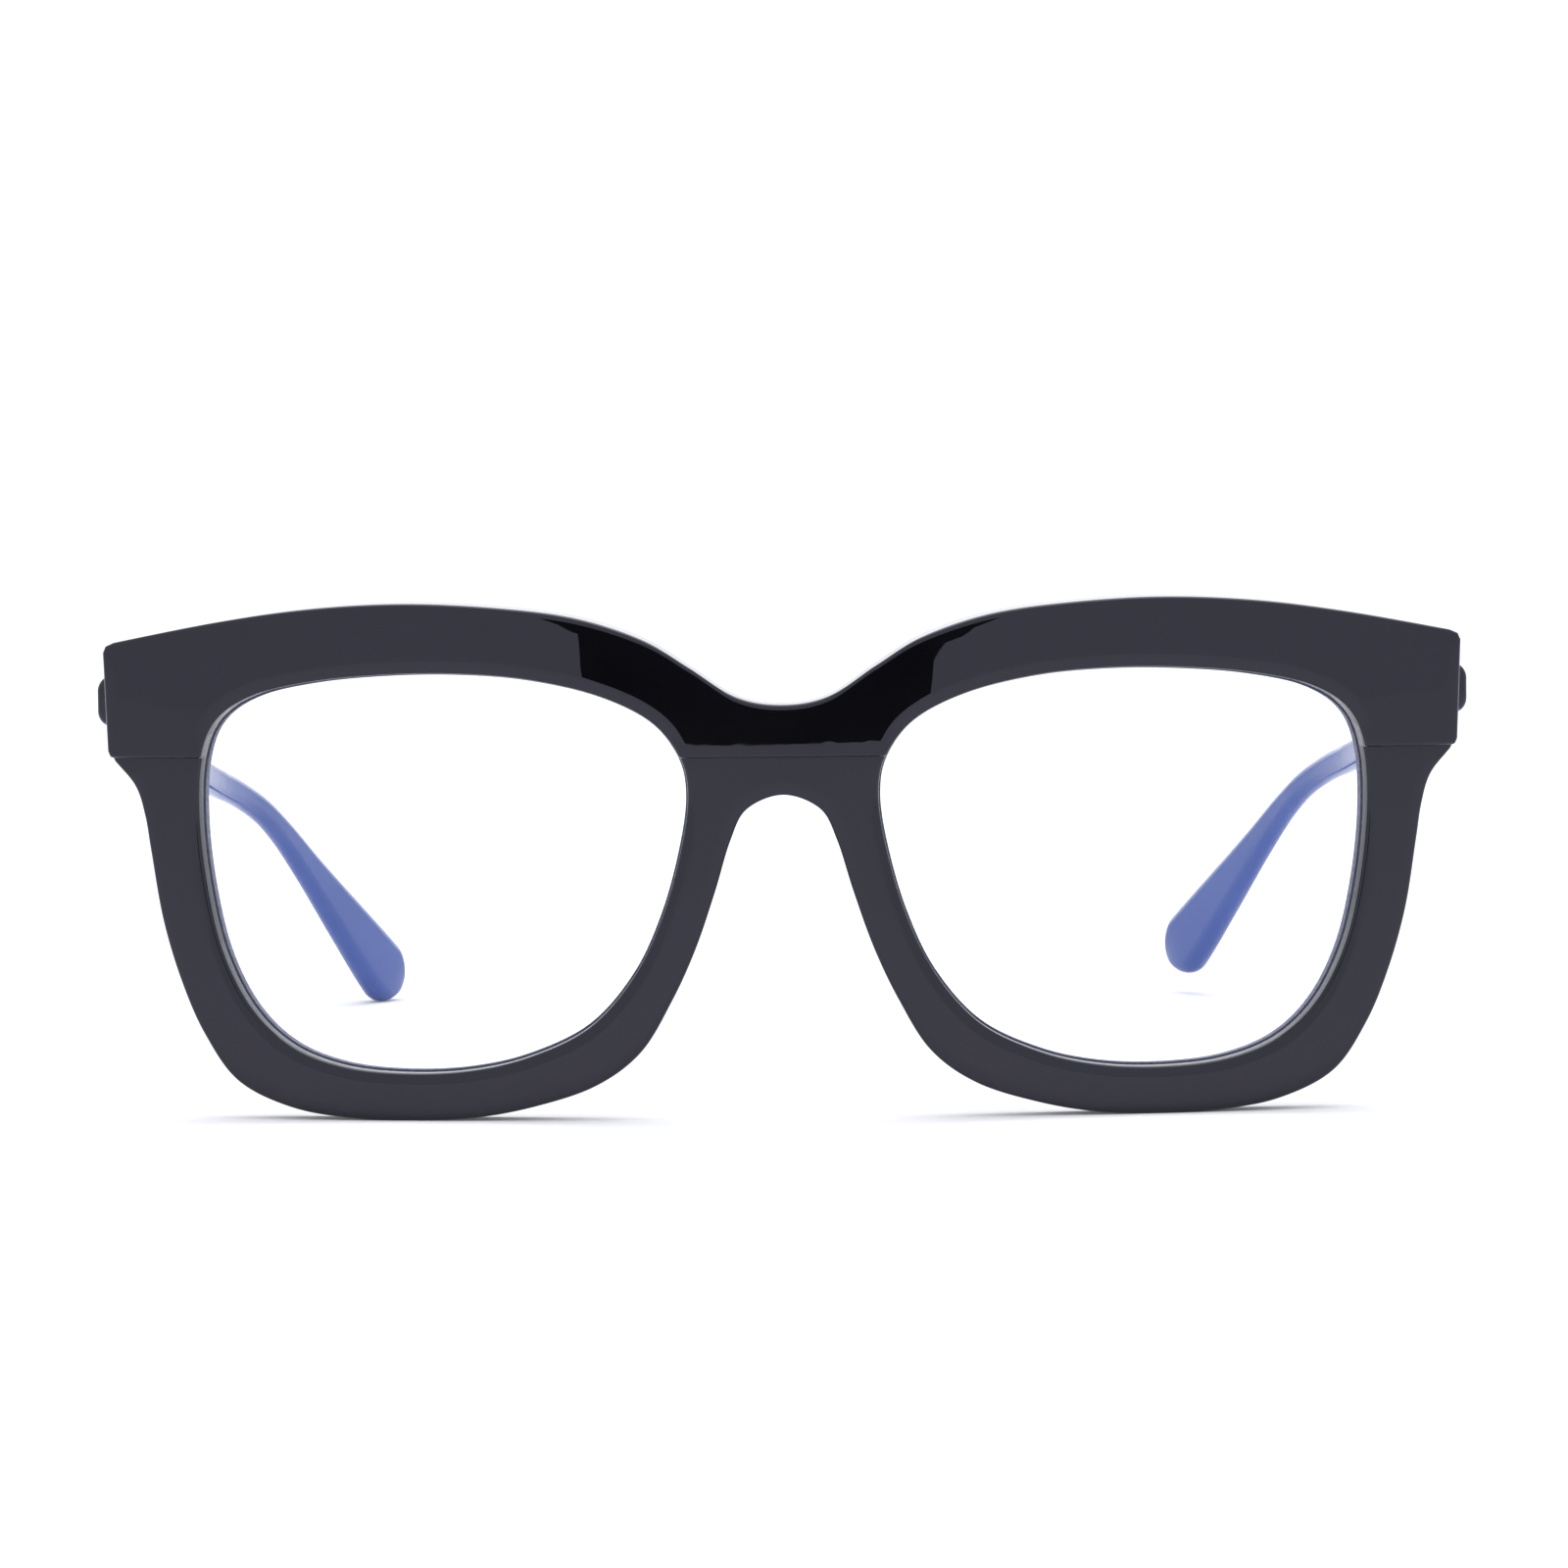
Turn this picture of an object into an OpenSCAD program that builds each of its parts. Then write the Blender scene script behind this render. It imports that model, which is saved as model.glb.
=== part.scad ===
// Blue light glasses: a chunky square acetate front with a raised brow, clear
// filter lenses, and slim laminated temples, black outside and blue inside.
// Millimetres, +Z up. The front faces -Y and stands on its rim bottoms at Z = 0;
// the origin lies on that floor, midway between the brow and the temple tips.
// "left" is the wearer's left, which is +X.

/* [Front] */
// Width of the front across the end pieces
front_w = 145.6; // [130:0.2:156]
// Height of the front from the rim bottoms to the brow
front_h = 55.5; // [48:0.1:62]
// Radius of the upright cylinder that the front is curved to
front_r = 290; // [240:5:400]
// Thickness of the rims
rim_t = 4.8; // [4:0.1:6]
// How far the brow stands proud of the rims
brow_step = 0.8; // [0.4:0.1:1.2]
// Height of the step below the raised brow
brow_z = 38.9; // [36:0.1:40]

/* [Lenses] */
// Thickness of each lens
lens_t = 1.8; // [1.6:0.1:2.2]
// Depth of the middle of the lens behind the face of the rims
lens_depth = 3; // [2.4:0.1:3.2]
// How far the lens edge reaches into its groove
lens_bevel = 0.7; // [0.4:0.1:1]

/* [Nose pads] */
// Length of each nose pad
pad_l = 14; // [10:0.5:16]
// Width of each nose pad
pad_w = 5; // [4:0.5:6]
// Depth of each nose pad behind the rim
pad_d = 3.2; // [2:0.1:4]

/* [Temples] */
// Height of the temple at the hinge
temple_h = 5.6; // [5:0.1:6.4]
// Thickness of the temple at the hinge
temple_t = 4.1; // [3.8:0.1:4.6]
// Thickness of the temple at the ear, its slimmest place
ear_t = 2.4; // [2.2:0.1:2.8]
// Thickness of the temple at its tip
tip_t = 3.5; // [3:0.1:4]
// Thickness of the black outer layer
veneer_t = 0.7; // [0.5:0.1:1]
// How far the left tip floats above the floor, as the pair is bent
left_lift = 2.4; // [0:0.1:3]

/* [Hinges] */
// Outer radius of the hinge barrels
barrel_r = 1.25; // [1.1:0.05:1.3]
// Radius of the hinge screw's shank
screw_r = 0.6; // [0.5:0.05:0.7]
// Thickness of the hinge leaves
leaf_t = 0.9; // [0.7:0.1:1]
// Width of the core wire inside the temple
wire_w = 1.4; // [1:0.1:1.8]

/* [Hidden] */

left = 1;
right = -1;
black = [0.06, 0.06, 0.08];
blue = [0.33, 0.4, 0.76];
steel = [0.72, 0.72, 0.74];
clear = [0.85, 0.9, 1, 0.3];

// The curves are drawn for a front of this size and scaled to the driving one.
drawn_w = 145.6;
drawn_h = 55.5;
sx = front_w / drawn_w;
sz = front_h / drawn_h;
curve_steps = 5;
slack = 0.05;
shell_fn = 360;
reach = 40;

// Catmull-Rom curve through points; the first and last only steer its ends.
function blend(a, b, c, d, t) =
    (2*b + (c - a)*t + (2*a - 5*b + 4*c - d)*t*t + (3*b - a - 3*c + d)*t*t*t) / 2;
function curve(p) = [
    for (i = [1 : len(p) - 3], k = [0 : curve_steps - 1])
        blend(p[i - 1], p[i], p[i + 1], p[i + 2], k / curve_steps),
    p[len(p) - 2],
];
function loop_curve(p) = [
    for (i = [0 : len(p) - 1], k = [0 : curve_steps - 1])
        blend(p[(i + len(p) - 1) % len(p)], p[i], p[(i + 1) % len(p)], p[(i + 2) % len(p)],
              k / curve_steps),
];
function reversed(p) = [for (i = [len(p) - 1 : -1 : 0]) p[i]];
function sized(p) = [for (q = p) [q[0]*sx, q[1]*sz]];
function flipped(p) = [for (q = p) [-q[0], q[1]]];

// A closed outline moved outwards by d; its points run clockwise when d grows it.
function offset_loop(p, d) = [
    for (i = [0 : len(p) - 1])
        let (a = p[(i + len(p) - 1) % len(p)], b = p[(i + 1) % len(p)], v = b - a)
            p[i] + d*[-v[1], v[0]]/norm(v),
];

// Y of a cylinder of radius r about the front's axis, at a given X.
function shell_y(x, r) = front_r - sqrt(r*r - x*x);
rear_r = front_r - rim_t;

// Front outline, right half of the drawing: over the brow, then round the rim.
brow_curve = curve([
    [-5, 45.4], [0, 44.5], [5, 45.4], [10, 48.6], [15, 51.6], [22, 53.9], [30, 55], [40, 55.5],
    [50, 55], [60, 53.6], [71.6, 51.3], [82, 49],
]);
end_piece = [[72.5, 50.9], [72.8, 50.2], [72.4, 39.6], [72.2, 39.1]];
rim_curve = curve([
    [73.5, 40.5], [71.9, 38.5], [69.7, 35.8], [68.7, 32.6], [68.1, 28.8], [66.9, 21.5],
    [65, 14.9], [62.5, 9.1], [58.9, 4.1], [53.1, 1.3], [46.5, 0.2], [40, 0], [33.5, 0.3],
    [27, 1.5], [20.4, 3.7], [15.5, 7.3], [12.1, 12.8], [9.5, 18.4], [7.4, 24.4], [5.7, 29.9],
    [3.9, 33.3], [0, 34.8], [-3.9, 33.3],
]);
half_outline = concat(brow_curve, end_piece, rim_curve);
front_outline = sized(concat(
    half_outline,
    flipped(reversed([for (i = [1 : len(half_outline) - 2]) half_outline[i]]))
));

// Edge of the lens opening on the front face, clockwise from the nose.
opening = sized(loop_curve([
    [10.2, 35], [11.1, 39.1], [14.2, 42.9], [20, 45.7], [27.5, 47.4], [35, 48], [42.5, 47.9],
    [50, 47.2], [56.5, 45.7], [60.6, 43], [62.4, 38.6], [62.7, 32], [61.9, 24.6], [60.2, 17.6],
    [57.2, 11.8], [53, 7.9], [47.5, 5.8], [41, 5.1], [34, 5.4], [27.4, 6.9], [20.9, 10.1],
    [16, 15.7], [12.9, 22.3], [10.9, 29.5],
]));

// The openings lean outwards, towards the curve of the front at its ends.
lens_x = 36.5*sx;
lens_turn = 10;
lens_prism_depth = 12;
function cut_point(p) = [
    (p[0] - lens_x)*cos(lens_turn)
        + (shell_y(p[0], front_r) - shell_y(lens_x, front_r))*sin(lens_turn),
    p[1],
];
opening_cut = [for (p = opening) cut_point(p)];
lens_mid_r = front_r - lens_depth;

// Hinge axis, just behind the end piece and inside the temple.
hinge_x = 68.5*sx;
hinge_z = 44.6*sz;
barrel_stand_off = 0.45;
hinge_y = shell_y(hinge_x, rear_r) + barrel_r + barrel_stand_off;
barrel_count = 5;
barrel_h = 1.1;
barrel_gap = 0.06;
hinge_h = barrel_count*barrel_h;
screw_clear = 0.03;
seat_l = 6;
seat_h = hinge_h + 0.1;
seat_past_axis = 1;
leaf_l = 12;
leaf_h = 4.2;
leaf_proud = 0.4;
wire_t = 1;
wire_start = 3;

// Middle of the temple: [y, x, thickness] in plan and [y, z, height] from the side.
temple_clear = 0.25;
temple_plan = curve([
    [-25, 73.9, temple_t], [10, 72.2, temple_t], [45, 70.2, 3.4], [78, 68.3, 2.7],
    [94, 66.5, ear_t], [104, 63.9, ear_t], [112, 60.5, ear_t], [120, 56.7, 2.5],
    [128, 52.4, 2.9], [140, 45.4, tip_t], [150, 39.7, tip_t],
]);
tip_h = 7.6;
temple_side = curve([
    [-25, 52.2, 6.2], [10, 45.5, temple_h], [45, 39.1, 4.6], [75, 33.7, 4], [97, 29.4, 3.4],
    [107, 26.5, 3.1], [114, 22.5, 3.2], [121, 16.7, 4.2], [128, 10.2, 6],
    [134.6, tip_h/2, tip_h], [141, -2, 7.8],
]);
tip_centre = temple_side[len(temple_side) - 1];
tip_y = tip_centre[0] + tip_h/2;
wire_end_y = 130;

// Depth from the brow, at Y = -brow_step, to the temple tips.
shift_y = -(tip_y - brow_step)/2;

function lifted(y, lift) = lift*max(0, y - hinge_y)/(tip_centre[0] - hinge_y);

// A line of points moved sideways: off(p) is the distance to its left.
function beside(line, off) = [
    for (i = [0 : len(line) - 1])
        let (a = line[max(i - 1, 0)], b = line[min(i + 1, len(line) - 1)],
             v = [b[0] - a[0], b[1] - a[1]])
            [line[i][0], line[i][1]] + off(line[i])*[-v[1], v[0]]/norm(v),
];

// Lines in plan, measured in from the outer face or out from the inner face.
function from_outer(d) = beside(temple_plan, function(p) p[2]/2 - d);
function from_inner(d) = beside(temple_plan, function(p) d - p[2]/2);

// Side outlines: the whole temple with its round tip, and a strip along its middle.
function raised(lift) = [for (p = temple_side) [p[0], p[1] + lifted(p[0], lift), p[2]]];
function side_outline(lift) =
    let (line = raised(lift), n = len(line), v = line[n - 1] - line[n - 2],
         turn = atan2(v[1], v[0]), mid = line[n - 1])
    concat(
        beside(line, function(p) p[2]/2),
        [for (a = [75 : -15 : -75]) [mid[0], mid[1]] + tip_h/2*[cos(turn + a), sin(turn + a)]],
        reversed(beside(line, function(p) -p[2]/2))
    );
function side_strip(lift, width) = concat(
    beside(raised(lift), function(p) width/2),
    reversed(beside(raised(lift), function(p) -width/2))
);

// ---- helpers ----
module placed() {
    translate([0, shift_y, 0]) children();
}

// Draws its child for the wearer's left, or mirrored for the right.
module sided(side) {
    placed() mirror([side < 0 ? 1 : 0, 0, 0]) children();
}

module shell(outer, inner) {
    translate([0, front_r, 0]) difference() {
        cylinder(r = outer, h = 2*reach + front_h, $fn = shell_fn);
        translate([0, 0, -1]) cylinder(r = inner, h = 2*reach + front_h + 2, $fn = shell_fn);
    }
}

// An outline in X and Z drawn out along Y, by depth each way.
module prism(points, depth) {
    rotate([90, 0, 0]) linear_extrude(height = 2*depth, center = true) polygon(points);
}

module lens_prism(points) {
    translate([lens_x, shell_y(lens_x, front_r), 0]) rotate([0, 0, lens_turn])
        prism(points, lens_prism_depth);
}

// A lens-shaped slice: grow widens its outline, gap thickens it.
module lens_slice(grow, gap) {
    intersection() {
        lens_prism(offset_loop(opening_cut, grow));
        shell(lens_mid_r + lens_t/2 + gap, lens_mid_r - lens_t/2 - gap);
    }
}

// Part of the rear wall of the end piece that the front leaf is sunk into.
module leaf_seat(gap) {
    intersection() {
        translate([hinge_x + seat_past_axis - seat_l - gap, 0, hinge_z - seat_h/2 - gap])
            cube([seat_l + 2*gap, reach, seat_h + 2*gap]);
        shell(rear_r + leaf_t + gap, rear_r - gap);
    }
}

module barrel(i) {
    translate([hinge_x, hinge_y, hinge_z - hinge_h/2 + i*barrel_h + barrel_gap/2])
        cylinder(r = barrel_r, h = barrel_h - barrel_gap, $fn = 48);
}

module screw_hole() {
    translate([hinge_x, hinge_y, hinge_z - hinge_h])
        cylinder(r = screw_r + screw_clear, h = 2*hinge_h, $fn = 48);
}

// The stretch of a temple between two plan lines and inside one side outline.
module temple_stretch(plan_a, plan_b, side_shape, start_y, end_y) {
    intersection() {
        linear_extrude(height = front_h + reach)
            polygon([for (p = concat(plan_a, reversed(plan_b))) [p[1], p[0]]]);
        rotate([90, 0, 90]) linear_extrude(height = front_w) polygon(side_shape);
        translate([0, start_y, -1]) cube([front_w, end_y - start_y, front_h + reach]);
    }
}

// Cuts the temple's front end to follow the back of the end piece.
module end_piece_clearance() {
    translate([0, front_r, 0]) difference() {
        cylinder(r = 2*front_r, h = front_h + reach, $fn = shell_fn);
        translate([0, 0, -1])
            cylinder(r = rear_r - temple_clear, h = front_h + reach + 2, $fn = shell_fn);
    }
}

module leaf_plate(lift, gap) {
    temple_stretch(from_inner(leaf_t - leaf_proud + gap), from_inner(-leaf_proud),
                   side_strip(lift, leaf_h + 2*gap),
                   hinge_y + barrel_r + 0.5 - gap, hinge_y + leaf_l + gap);
}

module wire_run(lift, gap) {
    temple_stretch(from_outer(veneer_t), from_outer(veneer_t + wire_t + gap),
                   side_strip(lift, wire_w + 2*gap), hinge_y + wire_start - gap, wire_end_y + gap);
}

// ---- front ----
module front_frame() {
    color(black) placed() difference() {
        intersection() {
            prism(front_outline, reach);
            union() {
                shell(front_r, rear_r);
                intersection() {
                    shell(front_r + brow_step, front_r - 1);
                    translate([-front_w, -reach, brow_z*sz]) cube([2*front_w, 2*reach, front_h]);
                }
            }
        }
        for (side = [left, right]) mirror([side < 0 ? 1 : 0, 0, 0]) {
            lens_prism(opening_cut);
            lens_slice(lens_bevel + slack, slack);
            leaf_seat(slack);
        }
    }
}

module lens(side) {
    color(clear) sided(side) lens_slice(lens_bevel, 0);
}

module nose_pad(side) {
    pad_x = 10.5*sx;
    pad_z = 20.5*sz;
    pad_tilt = 19;
    color(black) sided(side) intersection() {
        translate([0, front_r, 0]) cylinder(r = rear_r, h = front_h, $fn = shell_fn);
        translate([pad_x, shell_y(pad_x, rear_r) + pad_d - pad_w/2, pad_z])
            rotate([0, -pad_tilt, 0]) union() {
                for (k = [-1, 1]) translate([0, 0, k*(pad_l - pad_w)/2])
                    sphere(d = pad_w, $fn = 48);
                cylinder(d = pad_w, h = pad_l - pad_w, center = true, $fn = 48);
            }
    }
}

module front_hinge_leaf(side) {
    color(steel) sided(side) difference() {
        union() {
            leaf_seat(0);
            for (i = [0, 2, 4]) {
                barrel(i);
                translate([hinge_x - barrel_r, shell_y(hinge_x - barrel_r, rear_r) - 0.2,
                           hinge_z - hinge_h/2 + i*barrel_h + barrel_gap/2])
                    cube([2*barrel_r - 0.6, hinge_y - shell_y(hinge_x - barrel_r, rear_r) + 0.2,
                          barrel_h - barrel_gap]);
            }
        }
        screw_hole();
    }
}

module hinge_screw(side) {
    head_h = 0.7;
    color(steel) sided(side) translate([hinge_x, hinge_y, hinge_z - hinge_h/2]) difference() {
        union() {
            cylinder(r = screw_r, h = hinge_h + 0.1, $fn = 48);
            translate([0, 0, hinge_h + 0.05]) cylinder(r = barrel_r - 0.15, h = head_h, $fn = 48);
        }
        translate([-2, -0.15, hinge_h + 0.35]) cube([4, 0.3, head_h]);
    }
}

// ---- temples ----
module temple_hinge_leaf(side, lift) {
    inner_x = hinge_x + barrel_r;
    color(steel) sided(side) difference() {
        union() {
            leaf_plate(lift, 0);
            for (i = [1, 3]) {
                barrel(i);
                translate([inner_x - leaf_t, hinge_y,
                           hinge_z - hinge_h/2 + i*barrel_h + barrel_gap/2])
                    cube([leaf_t, barrel_r + 1.2, barrel_h - barrel_gap]);
            }
        }
        screw_hole();
    }
}

module temple_outer(side, lift) {
    color(black) sided(side) difference() {
        temple_stretch(from_outer(0), from_outer(veneer_t), side_outline(lift),
                       hinge_y - 8, tip_y + 1);
        end_piece_clearance();
    }
}

module temple_inner(side, lift) {
    color(blue) sided(side) difference() {
        temple_stretch(from_outer(veneer_t), from_inner(0), side_outline(lift),
                       hinge_y - 8, tip_y + 1);
        end_piece_clearance();
        leaf_plate(lift, slack);
        wire_run(lift, 0);
    }
}

module core_wire(side, lift) {
    color(steel) sided(side) wire_run(lift, 0);
}

for (side = [left, right]) {
    name = side == left ? "left" : "right";
    lift = side == left ? left_lift : 0;
    lens(side);
    nose_pad(side);
    front_hinge_leaf(side);
    hinge_screw(side);
    temple_hinge_leaf(side, lift);
    temple_outer(side, lift);
    temple_inner(side, lift);
    core_wire(side, lift);
}
front_frame();
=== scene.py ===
"""Looks of the blue light glasses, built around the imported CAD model.

Shapes are drawn in millimetres and turned into metres where a mesh is made. On the
front, a point is given as x and z on the face of the rims and w, its depth behind
that face, measured along the radius of the curved front. "left" is the wearer's left.
"""

import math

import bpy
import numpy as np
from mathutils import Matrix, Vector
from mathutils.geometry import delaunay_2d_cdt


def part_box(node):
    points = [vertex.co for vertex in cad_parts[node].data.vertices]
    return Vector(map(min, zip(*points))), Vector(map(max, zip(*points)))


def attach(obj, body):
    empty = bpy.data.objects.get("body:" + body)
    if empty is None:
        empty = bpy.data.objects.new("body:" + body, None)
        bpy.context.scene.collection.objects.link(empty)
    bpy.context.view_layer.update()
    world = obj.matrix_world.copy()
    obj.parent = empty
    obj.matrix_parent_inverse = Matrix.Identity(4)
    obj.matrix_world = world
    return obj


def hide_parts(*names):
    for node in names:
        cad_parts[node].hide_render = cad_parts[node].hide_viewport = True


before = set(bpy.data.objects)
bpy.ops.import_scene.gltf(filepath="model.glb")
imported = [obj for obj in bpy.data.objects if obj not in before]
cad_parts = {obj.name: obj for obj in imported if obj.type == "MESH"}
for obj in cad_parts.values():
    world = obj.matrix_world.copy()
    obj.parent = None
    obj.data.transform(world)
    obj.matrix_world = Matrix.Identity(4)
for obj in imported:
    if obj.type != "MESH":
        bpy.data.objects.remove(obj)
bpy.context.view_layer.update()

MM = 0.001
TINY = 1e-9              # numbers nearer than this count as the same
SAME_PLACE = 1e-7        # points of a filling nearer than this count as one
LEFT, RIGHT = 1, -1
SIDES = {"left": LEFT, "right": RIGHT}

# ---- sizes of the front, in millimetres ----
FRONT_R = 290.0          # radius of the upright cylinder that the front follows
BROW_STEP = 0.8          # how far the brow stands proud of the rims
BROW_Z = 38.9            # height of the step below the brow
REAR_W = 4.75            # depth of the front's rear face
FRONT_FILLET = 0.35      # radius of the face's edge
SHOULDER_W = 1.5         # width and drop of the soft shoulder that polishing leaves
SHOULDER_D = 0.17
SHOULDER_RINGS = 4       # rings of points across the shoulder, and how far apart they lie
RING_GAP = 0.3
REAR_FILLET = 0.6        # radius of the rear edges
BROW_ROUND = 1.1         # radius of the brow's upper rear edge
STEP_FILLET = 0.35       # radius in the corner below the brow
FACE_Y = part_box("front_frame")[0].y / MM + BROW_STEP

# ---- sizes of the lenses and their grooves ----
LENS_FRONT_W = 2.1       # depth of the lens's two faces
LENS_REAR_W = 3.9
LENS_MID_W = (LENS_FRONT_W + LENS_REAR_W) / 2
LENS_BEVEL = 0.62        # how far the lens edge reaches into its groove
LENS_LAND = 0.1          # half the width of the flat on the lens edge
GROUND_SHOWS = 0.25      # how far the lens's ground edge shows inside the opening
GROOVE = 0.68            # depth of the groove, and where its two edges lie
GROOVE_FRONT_W = LENS_FRONT_W - 0.06
GROOVE_REAR_W = LENS_REAR_W + 0.04

# ---- how finely the meshes are made ----
CURVE_STEPS = 12         # points between two points of an outline
FACE_FILLET_STEPS = 5    # points across each of the round edges
OUTER_FILLET_STEPS = 7
OPENING_FILLET_STEPS = 4
FACE_LOW = (-74, 0)      # corners of a box around the front
FACE_HIGH = (74, 56)
FACE_SPACING = 1.6       # between the points that fill the front's faces
FACE_CLEAR = 0.6         # between those points and the shoulder
STEP_CLEAR = 1.6         # between those points and the step
LENS_SPACING = 2.2       # between the points that fill the lenses
LENS_CLEAR = 1.4         # between those points and the lens opening
ROW_PITCH = 0.866        # between rows of points, as a share of their spacing
STEP_SPACING = 0.9       # along the step and the end pieces
TRUE_NORMAL_WITHIN = 25  # degrees by which a face may differ from a point's true normal


# ---- curves ----
def blend(a, b, c, d, t):
    """Catmull-Rom point between b and c."""
    return (
        2 * b + (c - a) * t + (2 * a - 5 * b + 4 * c - d) * t * t + (3 * b - a - 3 * c + d) * t**3
    ) / 2


def curve(points, steps=CURVE_STEPS):
    """A smooth open curve; the first and last points only steer its ends."""
    p = np.array(points, float)
    made = [
        blend(p[i - 1], p[i], p[i + 1], p[i + 2], k / steps)
        for i in range(1, len(p) - 2)
        for k in range(steps)
    ]
    return np.array(made + [p[-2]])


def loop_curve(points, steps=CURVE_STEPS):
    """A smooth closed curve through points."""
    p = np.array(points, float)
    n = len(p)
    return np.array([
        blend(p[i - 1], p[i], p[(i + 1) % n], p[(i + 2) % n], k / steps)
        for i in range(n)
        for k in range(steps)
    ])


def subdivided(points, spacing):
    """Straight stretches cut into pieces no longer than spacing."""
    made = []
    for a, b in zip(points[:-1], points[1:]):
        n = max(1, math.ceil(np.linalg.norm(b - a) / spacing))
        made += [a + (b - a) * k / n for k in range(n)]
    return np.array(made + [points[-1]])


def with_levels(loop, levels):
    """A closed loop with extra points where it crosses each height."""
    made = []
    for a, b in zip(loop, np.roll(loop, -1, axis=0)):
        made.append(a)
        crossed = [(z - a[1]) / (b[1] - a[1]) for z in levels if (a[1] - z) * (b[1] - z) < 0]
        made += [a + (b - a) * t for t in sorted(crossed)]
    return np.array(made)


def smooth(t):
    """Eases from 0 to 1."""
    t = np.clip(t, 0, 1)
    return t * t * (3 - 2 * t)


def fillet(steps):
    """Insets and depths of a round edge of radius 1, from the wall to the flat face."""
    angles = [math.pi / 2 * k / steps for k in range(steps + 1)]
    return [(1 - math.cos(a), 1 - math.sin(a)) for a in angles]


# ---- outlines of the front ----
# The step below the brow, from above: height over BROW_Z, and depth.
STEP_PROFILE = (
    [(1.0, -BROW_STEP)]
    + [(STEP_FILLET * rise, STEP_FILLET * run - BROW_STEP) for run, rise in fillet(3)]
    + [(-0.02, 0.0), (-0.07, 0.0), (-0.9, 0.0)]
)
BROW_CURVE = [
    (-5, 45.4), (0, 44.5), (5, 45.4), (10, 48.6), (15, 51.6), (22, 53.9), (30, 55), (40, 55.5),
    (50, 55), (60, 53.6), (71.6, 51.3), (82, 49),
]
END_PIECE = [(71.6, 51.3), (72.5, 50.9), (72.8, 50.2), (72.4, 39.6), (72.2, 39.1), (71.9, 38.5)]
RIM_CURVE = [
    (73.5, 40.5), (71.9, 38.5), (69.7, 35.8), (68.7, 32.6), (68.1, 28.8), (66.9, 21.5),
    (65, 14.9), (62.5, 9.1), (58.9, 4.1), (53.1, 1.3), (46.5, 0.2), (40, 0), (33.5, 0.3),
    (27, 1.5), (20.4, 3.7), (15.5, 7.3), (12.1, 12.8), (9.5, 18.4), (7.4, 24.4), (5.7, 29.9),
    (3.9, 33.3), (0, 34.8), (-3.9, 33.3),
]
OPENING = [
    (10.2, 35), (11.1, 39.1), (14.2, 42.9), (20, 45.7), (27.5, 47.4), (35, 48), (42.5, 47.9),
    (50, 47.2), (56.5, 45.7), (60.6, 43), (62.4, 38.6), (62.7, 32), (61.9, 24.6), (60.2, 17.6),
    (57.2, 11.8), (53, 7.9), (47.5, 5.8), (41, 5.1), (34, 5.4), (27.4, 6.9), (20.9, 10.1),
    (16, 15.7), (12.9, 22.3), (10.9, 29.5),
]


def with_step(loop):
    """A closed loop with extra points where the rows of the step cross it."""
    return with_levels(loop, [BROW_Z + height for height, _ in STEP_PROFILE])


def outer_loop():
    """The front's outline, clockwise from the middle of the brow."""
    end = subdivided(np.array(END_PIECE, float), STEP_SPACING)
    half = np.concatenate([curve(BROW_CURVE)[:-1], end[:-1], curve(RIM_CURVE)])
    other = half[-2:0:-1] * (-1, 1)
    return with_step(np.concatenate([half, other]))


def mirrored(loop, side):
    """A clockwise loop for the left side, or its clockwise mirror image for the right."""
    return loop if side == LEFT else loop[::-1] * (-1, 1)


def face_w(z):
    """Depth of the front's face at a height."""
    rows = STEP_PROFILE[::-1]
    return np.interp(z - BROW_Z, [r[0] for r in rows], [r[1] for r in rows])


def on_step(z):
    """Which heights lie in the step, where points have no normal of their own."""
    foot, top = -0.05, 0.9 * STEP_FILLET
    return (z - BROW_Z > foot) & (z - BROW_Z < top)


def rear_radius(loop):
    """Radius of the rear edge along the outline: larger on top of the brow."""
    end_x, end_fading = 68, 6
    foot_z, foot_fading = 41, 3
    along = smooth((end_x - np.abs(loop[:, 0])) / end_fading)
    top = along * smooth((loop[:, 1] - foot_z) / foot_fading)
    return REAR_FILLET + (BROW_ROUND - REAR_FILLET) * top


def directions(loop, sign):
    """Unit directions from a clockwise loop: sign 1 points inside it and -1 outside."""
    v = np.roll(loop, -1, axis=0) - np.roll(loop, 1, axis=0)
    d = sign * np.stack([v[:, 1], -v[:, 0]], axis=1)
    return d / np.linalg.norm(d, axis=1)[:, None]


def levelled(d, loop):
    """Directions that run level near the step, so that its rows run through the rings."""
    wholly = 1.0         # level up to this far from the step, and less so beyond
    fading = 2.5
    steep = 0.4          # directions flatter than this stay as they are
    level = np.stack([np.sign(d[:, 0]), np.zeros(len(d))], axis=1)
    near = smooth(1 + (wholly - np.abs(loop[:, 1] - BROW_Z)) / fading)[:, None]
    d = np.where(np.abs(d[:, :1]) > steep, d + (level - d) * near, d)
    return d / np.linalg.norm(d, axis=1)[:, None]


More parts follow.
